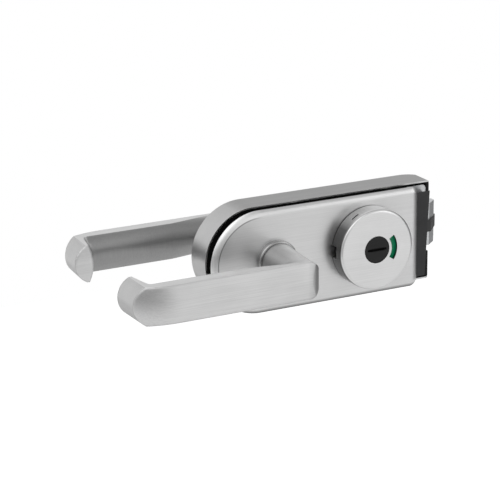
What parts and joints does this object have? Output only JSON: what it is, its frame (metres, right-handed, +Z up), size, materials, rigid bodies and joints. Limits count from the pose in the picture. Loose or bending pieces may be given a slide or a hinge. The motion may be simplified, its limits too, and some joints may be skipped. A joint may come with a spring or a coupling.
{
  "type": "glass door lever lock",
  "caption": "Lever lock clamped on a glass door: flat satin case, returned levers, spring latch and a privacy turn with coin slot and indicator.",
  "frame": {"origin": "on the lever spindle's axis, in the middle of the glass", "axes": "+X along the case to the latch, +Y from the indicator side through the glass to the thumb turn side, +Z up"},
  "size_m": [0.2408, 0.1229, 0.066],
  "materials": {
    "satin_cover": "satin, ground along the case",
    "satin_rose": "satin face, turned side wall",
    "satin_lever": "satin, ground along the grip",
    "satin_collar": "turned and polished edge",
    "plate_steel": "pressed, zinc plated",
    "cast_zinc": "cast, light grey plating",
    "plated_steel": "machined, zinc plated",
    "spring_steel": "oiled spring steel",
    "black_rubber": "matte",
    "dark_plastic": "moulded, fine texture",
    "black_plastic": "moulded",
    "insert_plastic": "moulded, slightly polished by use",
    "coin_plastic": "moulded, fine texture",
    "dial_plastic": "green sector and red sector"
  },
  "bodies": {
    "lock_body": {"front_cover": "satin_cover", "rear_cover": "satin_cover", "indicator_rose": "satin_rose", "turn_rose": "satin_rose", "front_collar": "satin_collar", "rear_collar": "satin_collar", "front_clamp_plate": "plate_steel", "rear_base_plate": "cast_zinc", "front_rubber_pad": "black_rubber", "rear_rubber_pad": "black_rubber", "clamp_sleeves": "plated_steel", "clamp_screws": "plated_steel", "end_frame_screws": "plated_steel", "cover_screws": "plated_steel", "rose_screws": "plated_steel", "lever_return_spring": "spring_steel", "lock_case": "plate_steel", "lock_case_lid": "plate_steel", "glass_edge_block": "dark_plastic", "end_frame": "black_plastic", "indicator_rose_base": "black_plastic", "turn_rose_base": "black_plastic"},
    "lever_set": {"front_lever": "satin_lever", "rear_lever": "satin_lever", "lever_spindle": "plated_steel", "lever_follower": "cast_zinc", "front_lever_circlip": "spring_steel", "lever_grub_screws": "plated_steel"},
    "latch": {"latch_bolt": "cast_zinc", "latch_insert": "insert_plastic", "latch_tail": "plate_steel", "latch_roll_pin": "spring_steel"},
    "turn_set": {"coin_disc": "coin_plastic", "indicator_dial": "dial_plastic", "turn_spindle": "plated_steel", "thumb_turn": "satin_lever", "turn_friction_ring": "black_rubber", "locking_cam": "cast_zinc"},
    "privacy_bolt": {"dead_bolt": "plated_steel"}
  },
  "joints": [
    {"name": "lever_turn", "type": "hinge", "parent": "lock_body", "child": "lever_set", "pos_m": [0, 0, 0], "axis": [0, -1, 0], "range_deg": [0, 40], "stiffness_Nm_per_rad": 2, "springref_deg": -28.65, "deforming": ["lever_return_spring"]},
    {"name": "latch_slide", "type": "slide", "parent": "lock_body", "child": "latch", "axis": [1, 0, 0], "range_m": [-0.0117, 0]},
    {"name": "privacy_turn", "type": "hinge", "parent": "lock_body", "child": "turn_set", "pos_m": [0.0649, 0, 0], "axis": [0, -1, 0], "range_deg": [0, 90]},
    {"name": "bolt_slide", "type": "slide", "parent": "lock_body", "child": "privacy_bolt", "axis": [1, 0, 0], "range_m": [0, 0.0129]}
  ],
  "couplings": [
    {"joint": "latch_slide", "follows": "lever_turn", "m_per_rad": -0.016657},
    {"joint": "bolt_slide", "follows": "privacy_turn", "m_per_rad": 0.0081028}
  ]
}
